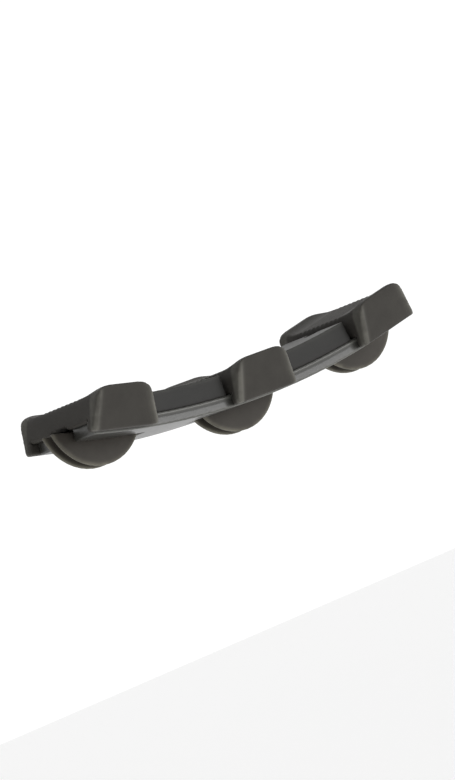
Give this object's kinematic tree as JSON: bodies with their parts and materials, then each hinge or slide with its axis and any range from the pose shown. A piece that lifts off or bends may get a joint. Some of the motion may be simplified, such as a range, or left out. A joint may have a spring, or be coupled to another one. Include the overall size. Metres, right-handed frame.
{
  "type": "racket bridge vibration dampener",
  "caption": "Arched strip with three elastomer saddles that seat on a racket's lower bridge, each holding a grooved guide for one string loop.",
  "frame": {"origin": "middle of the centre saddle's seat face, which lies on the racket's bridge", "axes": "+X along the bridge, +Y towards the back of the racket, +Z towards the racket's head"},
  "size_m": [0.0552, 0.0172, 0.0106],
  "materials": {
    "strip_nylon": "satin black moulded nylon",
    "spacer_plastic": "satin charcoal moulded nylon",
    "guide_plastic": "matte charcoal moulded nylon",
    "saddle_rubber": "matte warm charcoal elastomer"
  },
  "bodies": {
    "carrier": {"bearing_strip": "strip_nylon", "spacer_left": "spacer_plastic", "spacer_right": "spacer_plastic", "saddle_left": "saddle_rubber", "saddle_centre": "saddle_rubber", "saddle_right": "saddle_rubber"},
    "left_guide": {"string_guide_left": "guide_plastic"},
    "centre_guide": {"string_guide_centre": "guide_plastic"},
    "right_guide": {"string_guide_right": "guide_plastic"}
  },
  "joints": [
    {"name": "left_guide_travel", "type": "slide", "parent": "carrier", "child": "left_guide", "axis": [0.1857, 0, 0.9826], "range_m": [0, 0.00025], "stiffness_N_per_m": 50000},
    {"name": "centre_guide_travel", "type": "slide", "parent": "carrier", "child": "centre_guide", "axis": [0, 0, 1], "range_m": [0, 0.00025], "stiffness_N_per_m": 50000},
    {"name": "right_guide_travel", "type": "slide", "parent": "carrier", "child": "right_guide", "axis": [-0.1857, 0, 0.9826], "range_m": [0, 0.00025], "stiffness_N_per_m": 50000}
  ]
}
